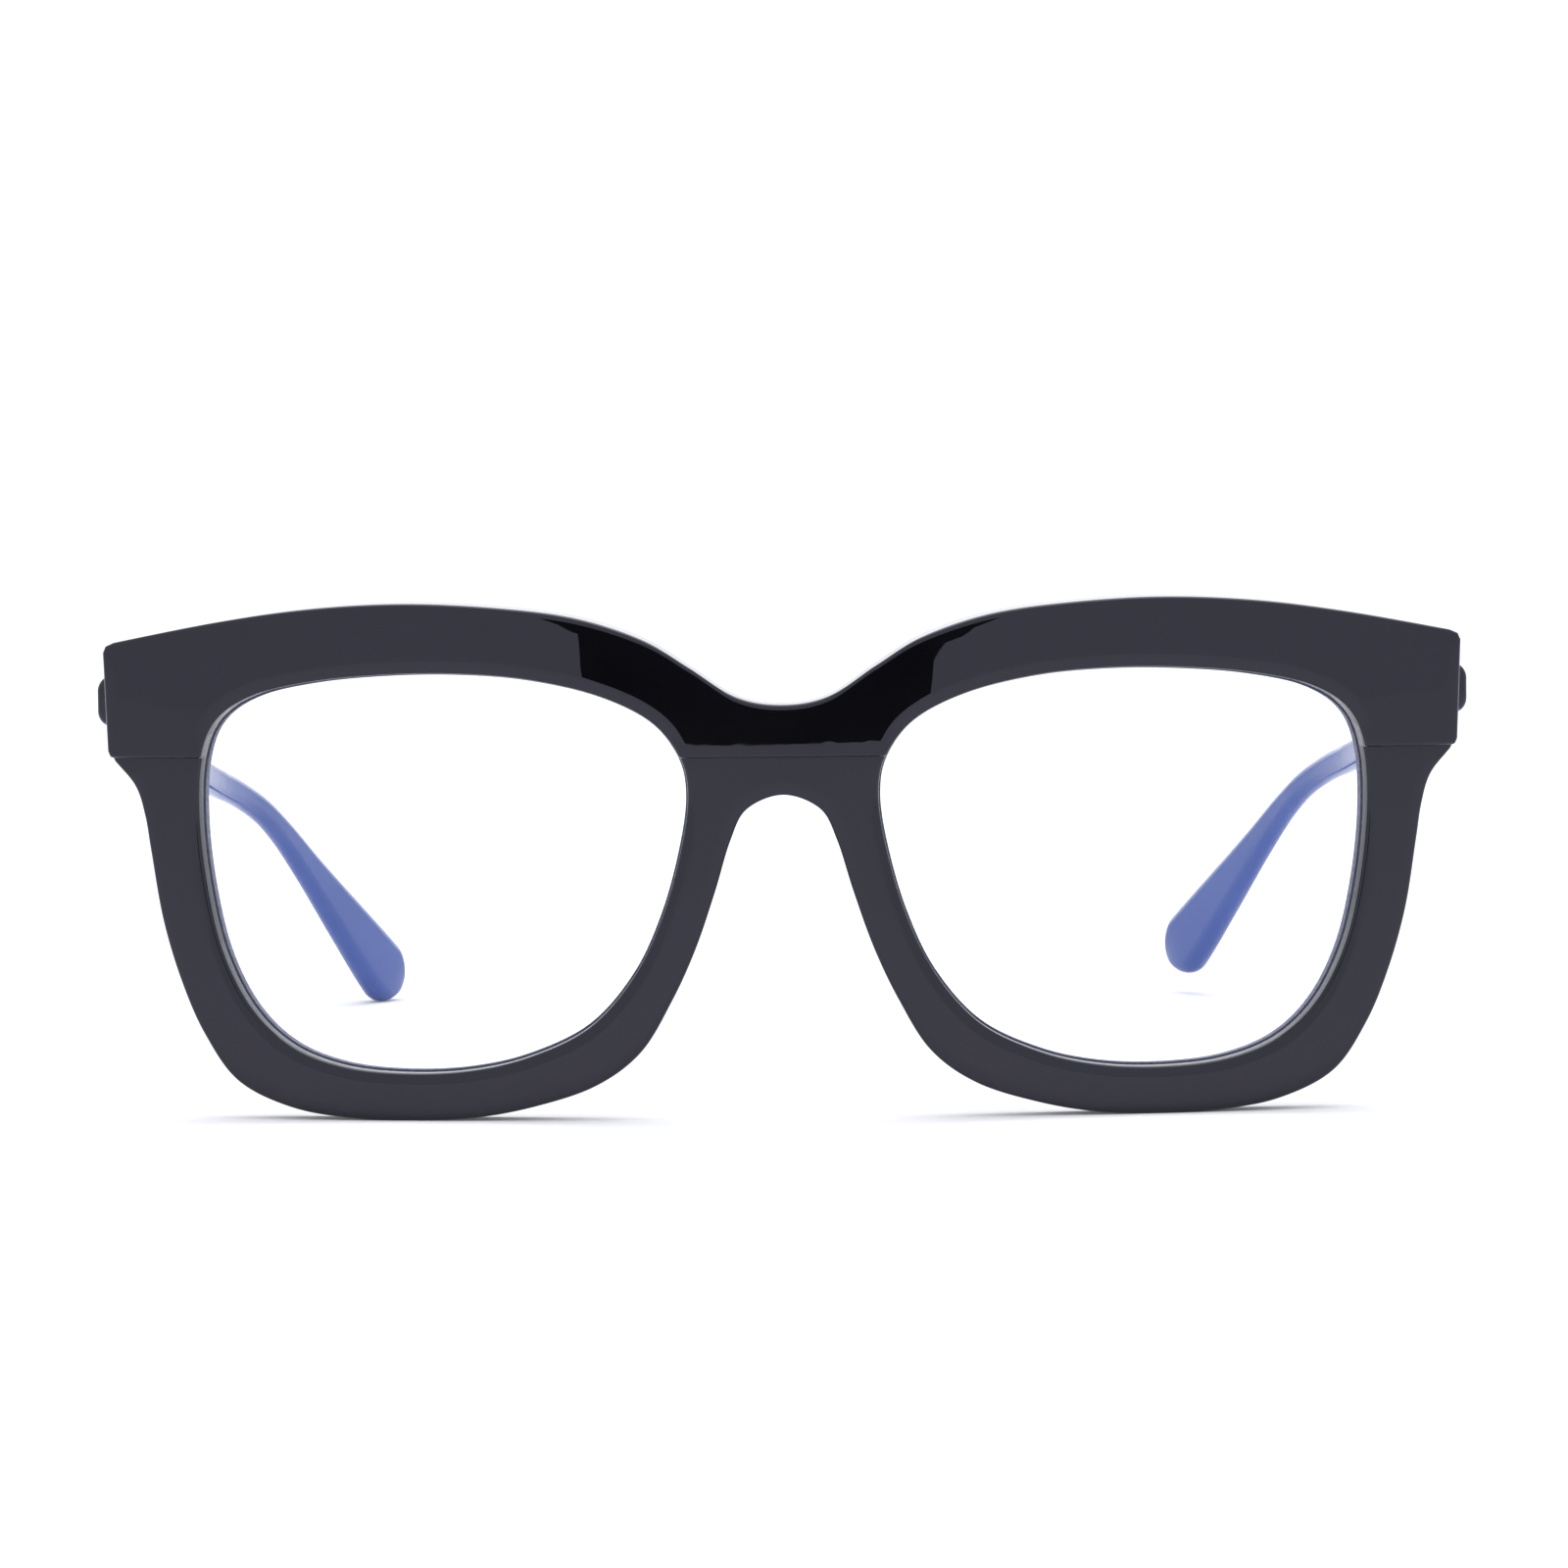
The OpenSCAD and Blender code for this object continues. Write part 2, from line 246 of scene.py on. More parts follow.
def roominess(loop, sign):
    """How much of the full shoulder fits at each point, less where the loop turns tightly."""
    window = 1.2         # a bend is measured over this much of the loop, each way
    share = 0.7          # of a bend's radius, that the shoulder may take
    least = 0.1          # width of the narrowest shoulder
    hold, fading = 2.0, 1.5
    v = np.roll(loop, -1, axis=0) - loop
    length = np.linalg.norm(v, axis=1)
    angle = np.arctan2(v[:, 1], v[:, 0])
    turn = -sign * (np.mod(angle - np.roll(angle, 1) + math.pi, 2 * math.pi) - math.pi)
    along = np.cumsum(length) - length
    gap = np.abs(along[:, None] - along[None])
    gap = np.minimum(gap, length.sum() - gap)
    bend = np.maximum(TINY, np.where(gap < window, turn[None], 0).sum(axis=1))
    fit = np.clip(share * 2 * window / bend - FRONT_FILLET, least, SHOULDER_W)
    lowest = np.where(gap < hold, fit[None], SHOULDER_W).min(axis=1)
    near = np.exp(-((gap / fading) ** 2))
    return np.minimum(1, (near @ lowest) / near.sum(axis=1) / (SHOULDER_W - FRONT_FILLET))


def shoulder(inset):
    """Drop and slope of the face's soft shoulder at a distance from its edge."""
    t = max(0.0, 1 - inset / SHOULDER_W)
    return SHOULDER_D * t * t, 2 * SHOULDER_D * t / SHOULDER_W


def inside(points, loop):
    """Which points lie inside a closed loop."""
    x, z = points[:, 0], points[:, 1]
    found = np.zeros(len(points), bool)
    for a, b in zip(loop, np.roll(loop, -1, axis=0)):
        if a[1] != b[1]:
            crosses = (a[1] > z) != (b[1] > z)
            found ^= crosses & (x < (b[0] - a[0]) * (z - a[1]) / (b[1] - a[1]) + a[0])
    return found


def distance_to(points, loop):
    """Distance of each point to the nearest point of a loop."""
    return np.min(np.linalg.norm(points[:, None] - loop[None], axis=2), axis=1)


def between(points, loops):
    """Which points lie inside the first loop and outside the others."""
    found = inside(points, loops[0])
    for hole in loops[1:]:
        found &= ~inside(points, hole)
    return found


def free_points(low, high, spacing, loops, clear):
    """Staggered points in a box that lie between the loops, and clear of them."""
    grid = np.array([
        (x + (k % 2) * spacing / 2, z)
        for k, z in enumerate(np.arange(low[1], high[1], spacing * ROW_PITCH))
        for x in np.arange(low[0], high[0], spacing)
    ])
    grid = grid[between(grid, loops)]
    for loop in loops:
        grid = grid[distance_to(grid, loop) > clear]
    return grid


# ---- places and normals on the curved front ----
def on_front(p, w):
    """Places on the curved front, in metres, of points p at depth w."""
    a = np.arcsin(p[:, 0] / FRONT_R)
    r = FRONT_R - w
    return np.stack([r * np.sin(a), FACE_Y + FRONT_R - r * np.cos(a), p[:, 1]], axis=1) * MM


def radial(p, outward):
    """Normals of the curved front's face (outward 1) or of its rear (-1), or none (0)."""
    a = np.arcsin(p[:, 0] / FRONT_R)
    return outward * np.stack([np.sin(a), -np.cos(a), 0 * a], axis=1)


def tilted(p, out, slope):
    """Normals of the front's face where it falls away towards out, a direction in x and z."""
    a = np.arcsin(p[:, 0] / FRONT_R)
    along = np.stack([np.cos(a), np.sin(a), 0 * a], axis=1) * out[:, :1]
    normal = radial(p, 1) + slope * (along + np.array([0, 0, 1]) * out[:, 1:])
    return normal / np.linalg.norm(normal, axis=1)[:, None]


# ---- meshes ----
class Shape:
    """Collects points and faces; a point may carry its true normal."""

    def __init__(self):
        self.points, self.normals, self.faces, self.marks = [], [], [], []
        self.count = 0

    def add(self, points, normals=None):
        """Adds points and returns their numbers."""
        self.points.append(points)
        self.normals.append(np.zeros_like(points) if normals is None else normals)
        first = self.count
        self.count += len(points)
        return np.arange(first, self.count)

    def face(self, corners, mark=0):
        """Adds a face; mark is the place of its material in the list given to build."""
        self.faces.append([int(c) for c in corners])
        self.marks.append(mark)

    def strip(self, a, b, mark=0):
        """Joins two closed rings of points with quads."""
        n = len(a)
        for i in range(n):
            j = (i + 1) % n
            self.face((a[i], a[j], b[j], b[i]), mark)

    def strips(self, rings, turned, mark=0):
        """Joins neighbouring rings; turned when they run the other way round."""
        for a, b in zip(rings[:-1], rings[1:]):
            self.strip(*((b, a) if turned else (a, b)), mark)

    def tube(self, rings, turned):
        """Joins neighbouring rings and closes the first and the last."""
        self.strips(rings, turned)
        self.face(rings[0] if turned else rings[0][::-1])
        self.face(rings[-1][::-1] if turned else rings[-1])

    def build(self, name, materials, sharp=35):
        """Makes the object; edges sharper than so many degrees stay sharp."""
        mesh = bpy.data.meshes.new(name)
        mesh.from_pydata(np.concatenate(self.points).tolist(), [], self.faces)
        for m in materials:
            mesh.materials.append(m)
        mesh.polygons.foreach_set("material_index", self.marks)
        mesh.polygons.foreach_set("use_smooth", [True] * len(self.faces))
        obj = bpy.data.objects.new(name, mesh)
        bpy.context.scene.collection.objects.link(obj)
        mesh.set_sharp_from_angle(angle=math.radians(sharp))
        given = np.concatenate(self.normals)
        if np.any(given):  # a true normal counts on the faces that nearly agree with it
            found = np.zeros(3 * len(mesh.loops), np.float32)
            mesh.corner_normals.foreach_get("vector", found)
            found = found.reshape(-1, 3)
            corner = np.zeros(len(mesh.loops), np.int32)
            mesh.loops.foreach_get("vertex_index", corner)
            wanted = given[corner]
            limit = math.cos(math.radians(TRUE_NORMAL_WITHIN))
            agree = np.sum(wanted * found, axis=1) > limit
            mesh.normals_split_custom_set(np.where(agree[:, None], wanted, found).tolist())
        mesh.validate()
        return obj


def filled(shape, loops, numbers, extra, extra_numbers, links, facing_front):
    """Fills the flat between closed loops (the first is the outer one) with triangles.

    extra are points between the loops, and links are edges that the triangles keep.
    """
    edges, first = list(links), 0
    for loop in loops:
        n = len(loop)
        edges += [(first + i, first + (i + 1) % n) for i in range(n)]
        first += n
    points = [Vector(p) for p in np.concatenate(loops + [extra])]
    names = np.concatenate(numbers + [extra_numbers])
    made, _, triangles, sources = delaunay_2d_cdt(points, edges, [], 0, SAME_PLACE, True)[:4]
    if not all(sources):
        raise RuntimeError("an outline crosses itself: its shoulder or fillet is too wide")
    flat = np.array([tuple(v) for v in made])
    triangles = np.array(triangles)
    keep = between(flat[triangles].mean(axis=1), loops)
    for t in triangles[keep]:
        corners = [names[sources[i][0]] for i in t]
        if len(set(corners)) < 3:
            continue
        a, b, c = flat[t]
        clockwise = (b[0] - a[0]) * (c[1] - a[1]) - (b[1] - a[1]) * (c[0] - a[0]) < 0
        shape.face(corners if clockwise != facing_front else corners[::-1])


# ---- the front ----
def face_rings(shape, loop, sign, d):
    """Rings of the face's shoulder and round edge, and the outline of the first ring."""
    steps = [(SHOULDER_W - k * RING_GAP, 0.0) for k in range(SHOULDER_RINGS)]
    round_edge = fillet(FACE_FILLET_STEPS)[::-1]
    steps += [(FRONT_FILLET * inset, FRONT_FILLET * depth) for inset, depth in round_edge]
    room = roominess(loop, sign)[:, None]
    outlines, rings = [], []
    for inset, depth in steps:
        beyond = max(0.0, inset - FRONT_FILLET)
        p = loop + d * (inset - beyond + beyond * room)
        drop, slope = shoulder(inset)
        normal = tilted(p, -d, slope)
        if inset < FRONT_FILLET - TINY:
            normal[:] = 0
        normal[on_step(loop[:, 1])] = 0
        outlines.append(p)
        rings.append(shape.add(on_front(p, face_w(loop[:, 1]) + depth + drop), normal))
    return rings, outlines[0]


def groove_rings(shape, loop, d):
    """Rings of the groove that holds a lens."""
    profile = [(0, GROOVE_FRONT_W), (GROOVE, LENS_MID_W), (0, GROOVE_REAR_W)]
    return [shape.add(on_front(loop + d * inset, w)) for inset, w in profile]


def rear_rings(shape, loop, d, radius, steps):
    """Rings of the round rear edge, and the outline of the last ring."""
    rings = []
    for inset, depth in fillet(steps):
        p = loop + d * (inset * radius)[:, None]
        outward = -1 if inset > 1 - TINY else 0
        rings.append(shape.add(on_front(p, REAR_W - depth * radius), radial(p, outward)))
    return rings, p


def outer_edge(shape, loop):
    """The edge around the front; returns outline and numbers on the face, then behind."""
    d = levelled(directions(loop, 1), loop)
    face, face_outline = face_rings(shape, loop, 1, d)
    rear, rear_outline = rear_rings(shape, loop, d, rear_radius(loop), OUTER_FILLET_STEPS)
    shape.strips(face + rear, False)
    return face_outline, face[0], rear_outline, rear[-1]


def opening_edge(shape, loop):
    """The edge of a lens opening with its groove; returns what outer_edge returns."""
    d = levelled(directions(loop, -1), loop)
    radius = np.full(len(loop), REAR_FILLET)
    face, face_outline = face_rings(shape, loop, -1, d)
    groove = groove_rings(shape, loop, d)
    rear, rear_outline = rear_rings(shape, loop, d, radius, OPENING_FILLET_STEPS)
    wall = [face[-1]] + groove + rear
    shape.strips(face, True)
    shape.strips(wall, True, 1)
    return face_outline, face[0], rear_outline, rear[-1]


def step_rows(outline, heights):
    """Rows of points that carry the step across the lobes and the bridge.

    heights are those of the outline's points before the shoulder moved them inwards.
    Returns the points, their depths, and links from each point to the next.
    """
    points, depths, links = [], [], []
    by_x = np.argsort(outline[:, 0])
    for height, w in STEP_PROFILE:
        ends = [i for i in by_x if abs(heights[i] - BROW_Z - height) < TINY]
        for a, b in zip(ends[0::2], ends[1::2]):
            n = max(2, math.ceil((outline[b, 0] - outline[a, 0]) / STEP_SPACING))
            first = len(outline) + len(points)
            chain = [a, *range(first, first + n - 1), b]
            points += [outline[a] + (outline[b] - outline[a]) * (k / n) for k in range(1, n)]
            depths += [w] * (n - 1)
            links += list(zip(chain[:-1], chain[1:]))
    return np.array(points), np.array(depths), links


def front_mesh(material, wall_material):
    """The whole front: brow with its step, rims, bridge and grooved lens openings."""
    shape = Shape()
    openings = [mirrored(with_step(loop_curve(OPENING)), side) for side in SIDES.values()]
    loops = [outer_loop()] + openings
    made = [outer_edge(shape, loops[0])] + [opening_edge(shape, loop) for loop in openings]
    face_outlines, face_numbers, rear_outlines, rear_numbers = map(list, zip(*made))

    heights = np.concatenate([loop[:, 1] for loop in loops])
    rows, row_depths, links = step_rows(np.concatenate(face_outlines), heights)
    grid = free_points(FACE_LOW, FACE_HIGH, FACE_SPACING, loops, SHOULDER_W + FACE_CLEAR)
    away = grid[np.abs(grid[:, 1] - BROW_Z) >= STEP_CLEAR]
    points = np.concatenate([rows, away])
    depths = np.concatenate([row_depths, face_w(away[:, 1])])
    normal = radial(points, 1)
    normal[on_step(points[:, 1])] = 0
    numbers = shape.add(on_front(points, depths), normal)
    filled(shape, face_outlines, face_numbers, points, numbers, links, True)

    numbers = shape.add(on_front(grid, REAR_W), radial(grid, -1))
    filled(shape, rear_outlines, rear_numbers, grid, numbers, [], False)
    return shape.build("front", [material, wall_material])


def lens_mesh(name, side, clear, frosted):
    """A lens: two polished faces and a frosted V edge that sits in the groove."""
    shape = Shape()
    loop = mirrored(loop_curve(OPENING), side)
    d = directions(loop, -1)
    profile = [
        (-GROUND_SHOWS, LENS_FRONT_W, 1),
        (LENS_BEVEL, LENS_MID_W - LENS_LAND, 0),
        (LENS_BEVEL, LENS_MID_W + LENS_LAND, 0),
        (-GROUND_SHOWS, LENS_REAR_W, -1),
    ]
    rings = []
    for grow, w, outward in profile:
        p = loop + d * grow
        rings.append(shape.add(on_front(p, w), radial(p, outward)))
    shape.strips(rings, False, 1)
    outline = loop - d * GROUND_SHOWS
    grid = free_points(loop.min(axis=0), loop.max(axis=0), LENS_SPACING, [loop], LENS_CLEAR)
    for ring, w, outward in ((rings[0], LENS_FRONT_W, 1), (rings[-1], LENS_REAR_W, -1)):
        numbers = shape.add(on_front(grid, w), radial(grid, outward))
        filled(shape, [outline], [ring], grid, numbers, [], outward == 1)
    return shape.build(name, [clear, frosted])


# ---- temples ----
TEMPLE_PLAN = [  # y behind the front's face, x, thickness
    (-25, 73.9, 4.1), (10, 72.2, 4.1), (45, 70.2, 3.4), (78, 68.3, 2.7), (94, 66.5, 2.4),
    (104, 63.9, 2.4), (112, 60.5, 2.4), (120, 56.7, 2.5), (128, 52.4, 2.9), (140, 45.4, 3.5),
    (150, 39.7, 3.5),
]
TEMPLE_SIDE = [  # y behind the front's face, z, height
    (-25, 52.2, 6.2), (10, 45.5, 5.6), (45, 39.1, 4.6), (75, 33.7, 4), (97, 29.4, 3.4),
    (107, 26.5, 3.1), (114, 22.5, 3.2), (121, 16.7, 4.2), (128, 10.2, 6), (134.6, 3.8, 7.6),
    (141, -2, 7.8),
]
VENEER = 0.7             # thickness of the black outer layer
VENEER_SHARE = 0.45      # and at most this share of half the temple
LEFT_LIFT = 2.4          # how far the left tip floats, as the pair is bent
HINGE_Y = 14.85
TEMPLE_START = 9.0       # where the stations begin; the front end is cut behind this
TIP_Y = 134.6            # where the round tip begins, and how far it reaches
TIP_R = 3.8
TIP_STEPS = 10
TIP_HEIGHT_LEFT = 0.03   # share of the height left at the tip's last ring
TIP_THIN_LEFT = 0.45     # share of the thickness left there, and how fast it is reached
TIP_THINNING = 0.6
TEMPLE_GAP = 0.25        # between the end piece and the temple's front end
CORNER = 1.65            # roundness of the temple's long edges
CORNER_SHARE = 0.98      # and at most this share of half the section
END_ROUND = 0.4          # roundness of the temple's front end
END_MIDWAY = 0.3         # share of it that the middle of that round edge stands in
STATION_SPACING = 1.2
TEMPLE_CURVE_STEPS = 24
OUTER_POINTS = 8         # points on half a section of each layer
INNER_POINTS = 16


def temple_line(lift):
    """Stations along a temple: middle points, thicknesses, heights."""
    plan = curve(TEMPLE_PLAN, TEMPLE_CURVE_STEPS)
    side = curve(TEMPLE_SIDE, TEMPLE_CURVE_STEPS)
    y = np.linspace(
        TEMPLE_START, TIP_Y, math.ceil((TIP_Y - TEMPLE_START) / STATION_SPACING) + 1
    )
    x, thick = (np.interp(y, plan[:, 0], plan[:, i]) for i in (1, 2))
    z, high = (np.interp(y, side[:, 0], side[:, i]) for i in (1, 2))
    z = z + lift * np.maximum(0, y - HINGE_Y) / (TIP_Y - HINGE_Y)
    return np.stack([x, y, z], axis=1), thick, high


def temple_section(a, b, layer):
    """Section of one layer: half-thickness a and half-height b, with round long edges."""
    r = min(CORNER, CORNER_SHARE * a, CORNER_SHARE * b)
    veneer = min(VENEER, VENEER_SHARE * a)
    if layer == "outer":
        s = np.linspace(0, 1, OUTER_POINTS)
        n = a - veneer * s**2
    else:
        s = np.linspace(0, 1, INNER_POINTS)
        n = (2 * a - veneer) * (1 - s) ** 2 - a
    past = np.maximum(0, np.abs(n) - (a - r))
    h = b - r + np.sqrt(np.maximum(0, r**2 - past**2))
    return list(zip(n, h)) + list(zip(n[::-1], -h[::-1]))


def end_wall(x):
    """Y of the temple's front end, which follows the back of the end piece."""
    return FRONT_R - math.sqrt((FRONT_R - REAR_W - TEMPLE_GAP) ** 2 - x**2)


def temple_rings(lift, layer):
    """Rings of points along one layer of the left temple, from front end to tip."""
    middle, thick, high = temple_line(lift)
    along = np.gradient(middle, axis=0)
    along /= np.linalg.norm(along, axis=1)[:, None]
    across = np.stack([along[:, 1], -along[:, 0], 0 * along[:, 0]], axis=1)
    across /= np.linalg.norm(across, axis=1)[:, None]
    up = np.cross(across, along)

    def ring(i, place, a, b):
        """A section that faces as station i does: half-thickness a, half-height b."""
        section = temple_section(a, b, layer)
        return np.array([place + across[i] * p + up[i] * q for p, q in section])

    def end_ring(i, back, inset):
        """The section at station i, moved along the temple to its front end."""
        points = ring(i, middle[i], thick[i] / 2 - inset, high[i] / 2 - inset)
        return np.array([
            p + along[i] * (end_wall(p[0]) + back - p[1]) / along[i][1] for p in points
        ])

    body = [ring(i, middle[i], thick[i] / 2, high[i] / 2) for i in range(len(middle))]
    clear = [all(p[1] > end_wall(p[0]) + 2 * END_ROUND for p in points) for points in body]
    first = clear.index(True)
    midway = END_MIDWAY * END_ROUND
    rings = [end_ring(first, *edge) for edge in ((0, END_ROUND), (midway, midway), (END_ROUND, 0))]
    rings += body[first:]
    for k in range(1, TIP_STEPS + 1):  # the round tip
        s = math.sin(math.pi / 2 * k / TIP_STEPS)
        shrink = max(TIP_HEIGHT_LEFT, math.sqrt(1 - s * s))
        thin = TIP_THIN_LEFT + (1 - TIP_THIN_LEFT) * shrink**TIP_THINNING
        place = middle[-1] + along[-1] * TIP_R * s
        rings.append(ring(-1, place, thick[-1] / 2 * thin, high[-1] / 2 * shrink))
    return rings


def temple_mesh(name, side, lift, layer, material):
    """One layer of a temple: "outer" is the thin black one and "inner" the blue one."""
    shape = Shape()
    numbers = [
        shape.add((points * (side, 1, 1) + (0, FACE_Y, 0)) * MM)
        for points in temple_rings(lift, layer)
    ]
    shape.tube(numbers, side == LEFT)
    return shape.build(name, [material], sharp=40)


# ---- nose pads ----
PAD_X, PAD_Z = 11.3, 20.5            # middle of the left pad
PAD_TILT = math.radians(21)
PAD_LENGTH, PAD_WIDTH, PAD_DEPTH = 14.0, 4.0, 3.2
PAD_ROOT = 0.6                       # how deep the pad is sunk into the rim
PAD_FULLNESS = 0.8                   # below 1, its outline is fuller than an ellipse
PAD_TEARDROP = 0.18                  # how much broader its lower end is
PAD_AROUND, PAD_ROWS = 20, 14


def nose_pad_mesh(name, side, material):
    """A teardrop pad that grows out of the back of the rim beside the nose."""
    shape = Shape()
    cos_tilt, sin_tilt = math.cos(PAD_TILT), math.sin(PAD_TILT)
    a = 2 * math.pi * np.arange(PAD_AROUND) / PAD_AROUND
    numbers = []
    for k in range(1, PAD_ROWS):
        t = math.pi * k / PAD_ROWS
        s = -math.cos(t)
        swell = math.sin(t) ** PAD_FULLNESS * (1 - PAD_TEARDROP * s)
        across = PAD_WIDTH / 2 * swell * np.cos(a)
        up = s * PAD_LENGTH / 2
        back = -PAD_ROOT + (PAD_DEPTH + PAD_ROOT) / 2 * (1 + np.sin(a)) * swell
        x = PAD_X + across * cos_tilt - up * sin_tilt
        z = PAD_Z + up * cos_tilt + across * sin_tilt
        numbers.append(shape.add(on_front(np.stack([side * x, z], axis=1), REAR_W + back)))
    shape.tube(numbers, side == RIGHT)
    return shape.build(name, [material], sharp=60)


# ---- materials ----
def grey(v):
    """A colour with three equal parts."""
    return (v, v, v)


def new_material(name):
    """A material, its shader and its object coordinates."""
    m = bpy.data.materials.new(name)
    m.use_nodes = True
    place = m.node_tree.nodes.new("ShaderNodeTexCoord")
    return m, m.node_tree.nodes["Principled BSDF"], place.outputs["Object"]


def noise_node(m, place, scale, detail=2.0):
    """Noise from 0 to 1, with a scale in waves per metre."""
    n = m.node_tree.nodes.new("ShaderNodeTexNoise")
    n.inputs["Scale"].default_value = scale
    n.inputs["Detail"].default_value = detail
    m.node_tree.links.new(place, n.inputs["Vector"])
    return n.outputs["Fac"]


def varied(m, shader, name, noise, edge, low, high):
    """Lets noise vary an input of the shader from one colour to another.

    The noise reaches low at edge and high at 1 - edge.
    """
    n = m.node_tree.nodes.new("ShaderNodeValToRGB")
    for stop, at, colour in zip(n.color_ramp.elements, (edge, 1 - edge), (low, high)):
        stop.position, stop.color = at, (*colour, 1)
    m.node_tree.links.new(noise, n.inputs["Fac"])
    m.node_tree.links.new(n.outputs["Color"], shader.inputs[name])


def polished(m, shader, noise, low, high):
    """Lets noise vary the roughness between two values."""
    varied(m, shader, "Roughness", noise, 0.3, grey(low), grey(high))


def bumped(m, shader, height, distance):
    """Lets noise raise the surface by up to a distance, in metres."""
    n = m.node_tree.nodes.new("ShaderNodeBump")
    n.inputs["Strength"].default_value = 1.0
    n.inputs["Distance"].default_value = distance
    m.node_tree.links.new(height, n.inputs["Height"])
    m.node_tree.links.new(n.outputs["Normal"], shader.inputs["Normal"])


def mirroring(shader, ior, tint):
    """Sets how strongly the surface mirrors, and in what colour."""
    shader.inputs["IOR"].default_value = ior
    shader.inputs["Specular Tint"].default_value = (*tint, 1)


def black_acetate():
    """Polished black acetate, faintly uneven from hand polishing."""
    m, shader, place = new_material("black_acetate")
    deep, pale = (0.0028, 0.0028, 0.0040), (0.0040, 0.0039, 0.0056)
    varied(m, shader, "Base Color", noise_node(m, place, 90.0), 0.35, deep, pale)
    polished(m, shader, noise_node(m, place, 400.0), 0.0, 0.012)
    mirroring(shader, 1.52, (0.81, 0.79, 0.99))
    bumped(m, shader, noise_node(m, place, 60.0, 0.0), 0.00001)
    return m


def opening_wall_painted_reflection():
    """Black acetate inside the lens openings, which the cutter leaves satin, with a painted
    reflection: a lighter blue-grey base colour.
    """
    m, shader, place = new_material("opening_wall_painted_reflection")
    # painted reflection: lighter and bluer than the face's black, as if mirroring the bright room
    deep, pale = (0.016, 0.019, 0.034), (0.022, 0.026, 0.044)
    varied(m, shader, "Base Color", noise_node(m, place, 90.0), 0.35, deep, pale)
    polished(m, shader, noise_node(m, place, 900.0), 0.2, 0.3)
    mirroring(shader, 1.3, (0.85, 0.88, 1.0))
    bumped(m, shader, noise_node(m, place, 2000.0), 0.000002)
    return m


def blue_acetate():
    """Blue acetate of the temples, slightly cloudy."""
    m, shader, place = new_material("blue_acetate")
    deep, pale = (0.014, 0.046, 0.23), (0.024, 0.06, 0.26)
    varied(m, shader, "Base Color", noise_node(m, place, 60.0, 3.0), 0.3, deep, pale)
    polished(m, shader, noise_node(m, place, 300.0), 0.05, 0.1)
    mirroring(shader, 1.56, (0.7, 0.8, 1.0))
    bumped(m, shader, noise_node(m, place, 120.0, 1.0), 0.00001)
    return m


def filter_lens():
    """Clear lens with a faint blue-violet reflection."""
    m, shader, place = new_material("filter_lens")
    shader.inputs["Base Color"].default_value = (0.985, 0.99, 1.0, 1)
    shader.inputs["Transmission Weight"].default_value = 1.0
    mirroring(shader, 1.4, (0.45, 0.5, 1.0))
    polished(m, shader, noise_node(m, place, 500.0), 0.0, 0.012)
    return m


def frosted_edge():
    """Ground edge of the lens."""
    m, shader, place = new_material("frosted_edge")
    deep, pale = (0.23, 0.24, 0.32), (0.34, 0.35, 0.46)
    varied(m, shader, "Base Color", noise_node(m, place, 2500.0), 0.3, deep, pale)
    polished(m, shader, noise_node(m, place, 3000.0), 0.35, 0.55)
    return m


def brushed_steel(name, tone, low, high):
    """Bright metal of a grey tone, with fine tumbling marks: roughness from low to high."""
    m, shader, place = new_material(name)
    shader.inputs["Metallic"].default_value = 1.0
    dull = grey(tone * 0.92)
    varied(m, shader, "Base Color", noise_node(m, place, 700.0), 0.3, dull, grey(tone))
    polished(m, shader, noise_node(m, place, 2500.0, 3.0), low, high)
    bumped(m, shader, noise_node(m, place, 3500.0), 0.000004)
    return m


# ---- pieces ----
def painted(node, material):
    """Gives a CAD node its material."""
    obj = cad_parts[node]
    obj.data.materials.clear()
    obj.data.materials.append(material)


def stands_for(piece, body, node):
    """Lets a piece ride on a body in the place of a CAD node."""
    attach(piece, body)
    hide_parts(node)


black, blue = black_acetate(), blue_acetate()
clear, frosted = filter_lens(), frosted_edge()
hinge_metal = brushed_steel("hinge_steel", 0.62, 0.18, 0.32)
screw_metal = brushed_steel("screw_steel", 0.72, 0.12, 0.22)
wire_metal = brushed_steel("core_wire", 0.6, 0.2, 0.35)
LAYERS = (("outer", black, "black_acetate"), ("inner", blue, "blue_acetate"))

# the walls of the lens openings carry a painted reflection in their base colour
stands_for(front_mesh(black, opening_wall_painted_reflection()), "front", "front_frame")
for side_name, side in SIDES.items():
    lift = LEFT_LIFT if side == LEFT else 0.0
    temple = f"temple_{side_name}"
    lens = lens_mesh(f"{side_name}_lens", side, clear, frosted)
    lens.visible_shadow = False
    lens.visible_glossy = False
    stands_for(lens, "front", f"lens_{side_name}")
    pad = nose_pad_mesh(f"{side_name}_nose_pad", side, black)
    stands_for(pad, "front", f"nose_pad_{side_name}")
    for layer, material, slot in LAYERS:
        piece = temple_mesh(f"{side_name}_temple_{layer}", side, lift, layer, material)
        stands_for(piece, temple, f"temple_{layer}_{side_name}")
    painted(f"front_hinge_leaf_{side_name}", hinge_metal)
    painted(f"temple_hinge_leaf_{side_name}", hinge_metal)
    painted(f"hinge_screw_{side_name}", screw_metal)
    painted(f"core_wire_{side_name}", wire_metal)


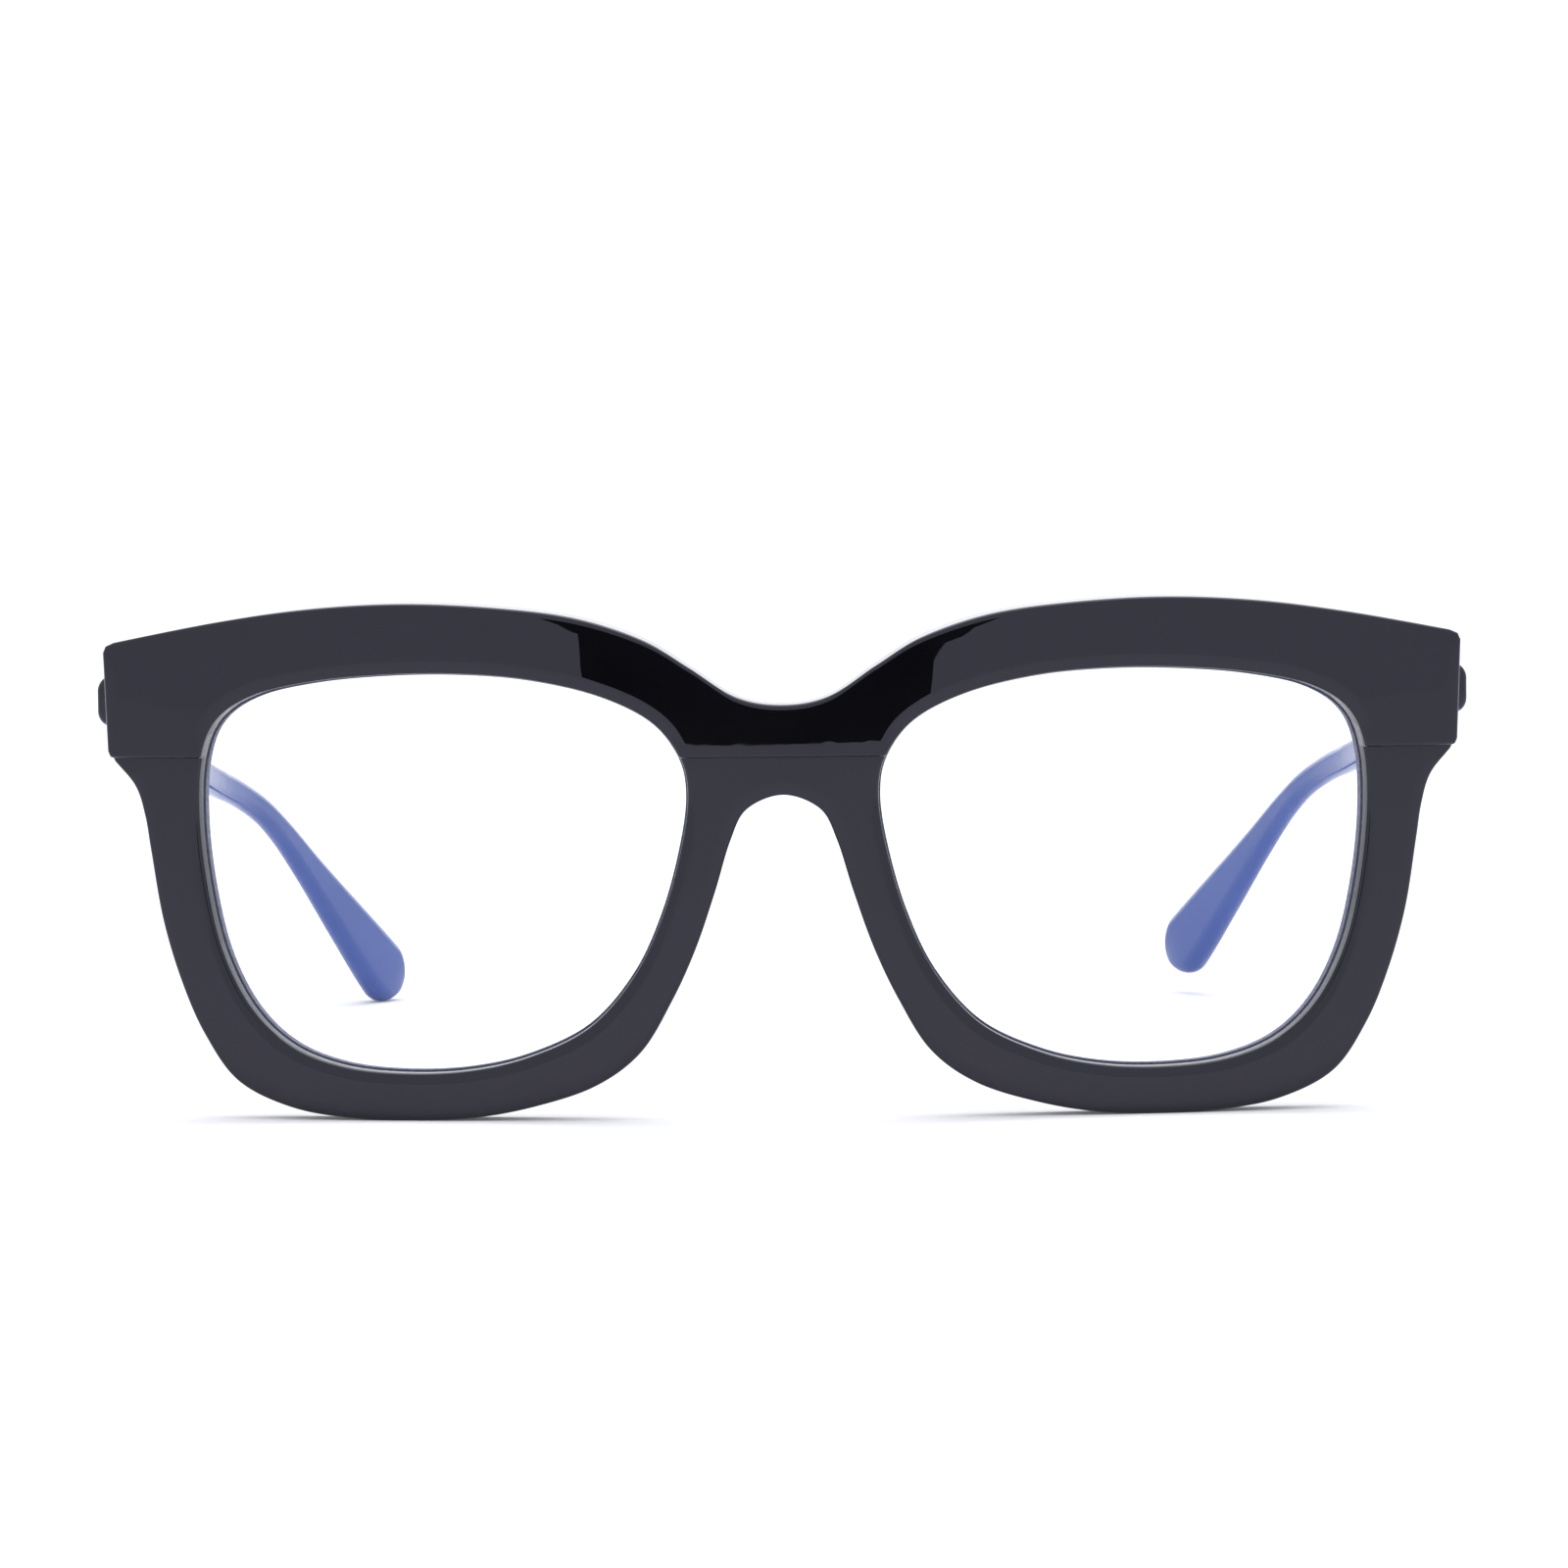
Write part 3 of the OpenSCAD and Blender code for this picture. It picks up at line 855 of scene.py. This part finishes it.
# ---- stage: floor, cards, lights, camera; in metres ----
def flat_card(name, corners, colour, strength=0.0):
    """A matt flat card that glows in its own colour."""
    mesh = bpy.data.meshes.new(name)
    mesh.from_pydata(corners, [], [tuple(range(len(corners)))])
    m, shader, _ = new_material(name)
    shader.inputs["Base Color"].default_value = (*colour, 1)
    shader.inputs["Roughness"].default_value = 0.9
    shader.inputs["Specular IOR Level"].default_value = 0.0
    shader.inputs["Emission Color"].default_value = (*colour, 1)
    shader.inputs["Emission Strength"].default_value = strength
    mesh.materials.append(m)
    obj = bpy.data.objects.new(name, mesh)
    bpy.context.scene.collection.objects.link(obj)
    return obj


def only_in_reflections(card):
    """Hides a card from all but the surfaces that mirror it."""
    card.visible_camera = False
    card.visible_diffuse = False
    card.visible_shadow = False
    card.visible_transmission = False


def area_light(name, place, target, size, power, colour):
    """A round light that faces a target."""
    light = bpy.data.lights.new(name, "AREA")
    light.shape = "DISK"
    light.size, light.energy, light.color = size, power, colour
    obj = bpy.data.objects.new(name, light)
    obj.location = place
    obj.rotation_euler = (Vector(target) - Vector(place)).to_track_quat("-Z", "Y").to_euler()
    bpy.context.scene.collection.objects.link(obj)


front_y = FACE_Y * MM
FLOOR_FAR, FLOOR_SIDE = 30.0, 15.0
FLOOR_NEAR_Y = front_y - 0.56
flat_card("floor", [
    (-FLOOR_SIDE, FLOOR_NEAR_Y, 0), (FLOOR_SIDE, FLOOR_NEAR_Y, 0),
    (FLOOR_SIDE, FLOOR_FAR, 0), (-FLOOR_SIDE, FLOOR_FAR, 0),
], grey(0.9), 0.08)

# The dark of the room behind the camera, which the middle of the brow mirrors:
# its two edges, as x and z.
DARK_Y = front_y - 1.6
DARK_LEFT_EDGE = [
    (-0.27, -0.8), (-0.28, -0.09), (-0.29, -0.06), (-0.3, -0.04), (-0.28, 0.2), (-0.3, 0.4),
]
DARK_RIGHT_EDGE = [
    (0.24, 0.4), (0.21, 0.2), (0.26, -0.045), (0.22, -0.056), (0.2, -0.09), (0.2, -0.8),
]
dark_corners = [(x, DARK_Y, z) for x, z in DARK_LEFT_EDGE + DARK_RIGHT_EDGE]
only_in_reflections(flat_card("dark_card", dark_corners, grey(0.0)))

# The far wall, dark low down, which the brow's top mirrors, and light above,
# which the floors of the lens openings mirror.
WALL_Y, WALL_SIDE = front_y + 3.0, 4
for name, foot, top, strength in (("wall_foot", 0.02, 0.29, 0.05), ("wall", 0.29, 1.6, 0.6)):
    only_in_reflections(flat_card(name, [
        (-WALL_SIDE, WALL_Y, foot), (-WALL_SIDE, WALL_Y, top),
        (WALL_SIDE, WALL_Y, top), (WALL_SIDE, WALL_Y, foot),
    ], grey(1.0), strength))

world = bpy.data.worlds.new("studio")
world.use_nodes = True
world.node_tree.nodes["Background"].inputs["Color"].default_value = (0.95, 0.97, 1.03, 1)
world.node_tree.nodes["Background"].inputs["Strength"].default_value = 1.1
bpy.context.scene.world = world

area_light("overhead", (0.05, 0.12, 0.7), (0, 0.02, 0), 0.7, 2.4, (1.0, 0.99, 0.98))

# The camera looks along +Y, a little down, and is rolled a little.
CAMERA_X, CAMERA_D, CAMERA_H = 0.0001, 1.05, 0.1168
PITCH, ROLL = math.radians(4.399), math.radians(-0.577)
camera = bpy.data.cameras.new("camera")
camera.sensor_width = 36.0
camera.lens = 226.9
camera_object = bpy.data.objects.new("camera", camera)
camera_object.location = (CAMERA_X, front_y - CAMERA_D, CAMERA_H)
turn = Matrix.Rotation(math.pi / 2 - PITCH, 3, "X") @ Matrix.Rotation(ROLL, 3, "Z")
camera_object.rotation_euler = turn.to_euler()
bpy.context.scene.collection.objects.link(camera_object)
bpy.context.scene.camera = camera_object
bpy.context.scene.view_settings.view_transform = "Standard"
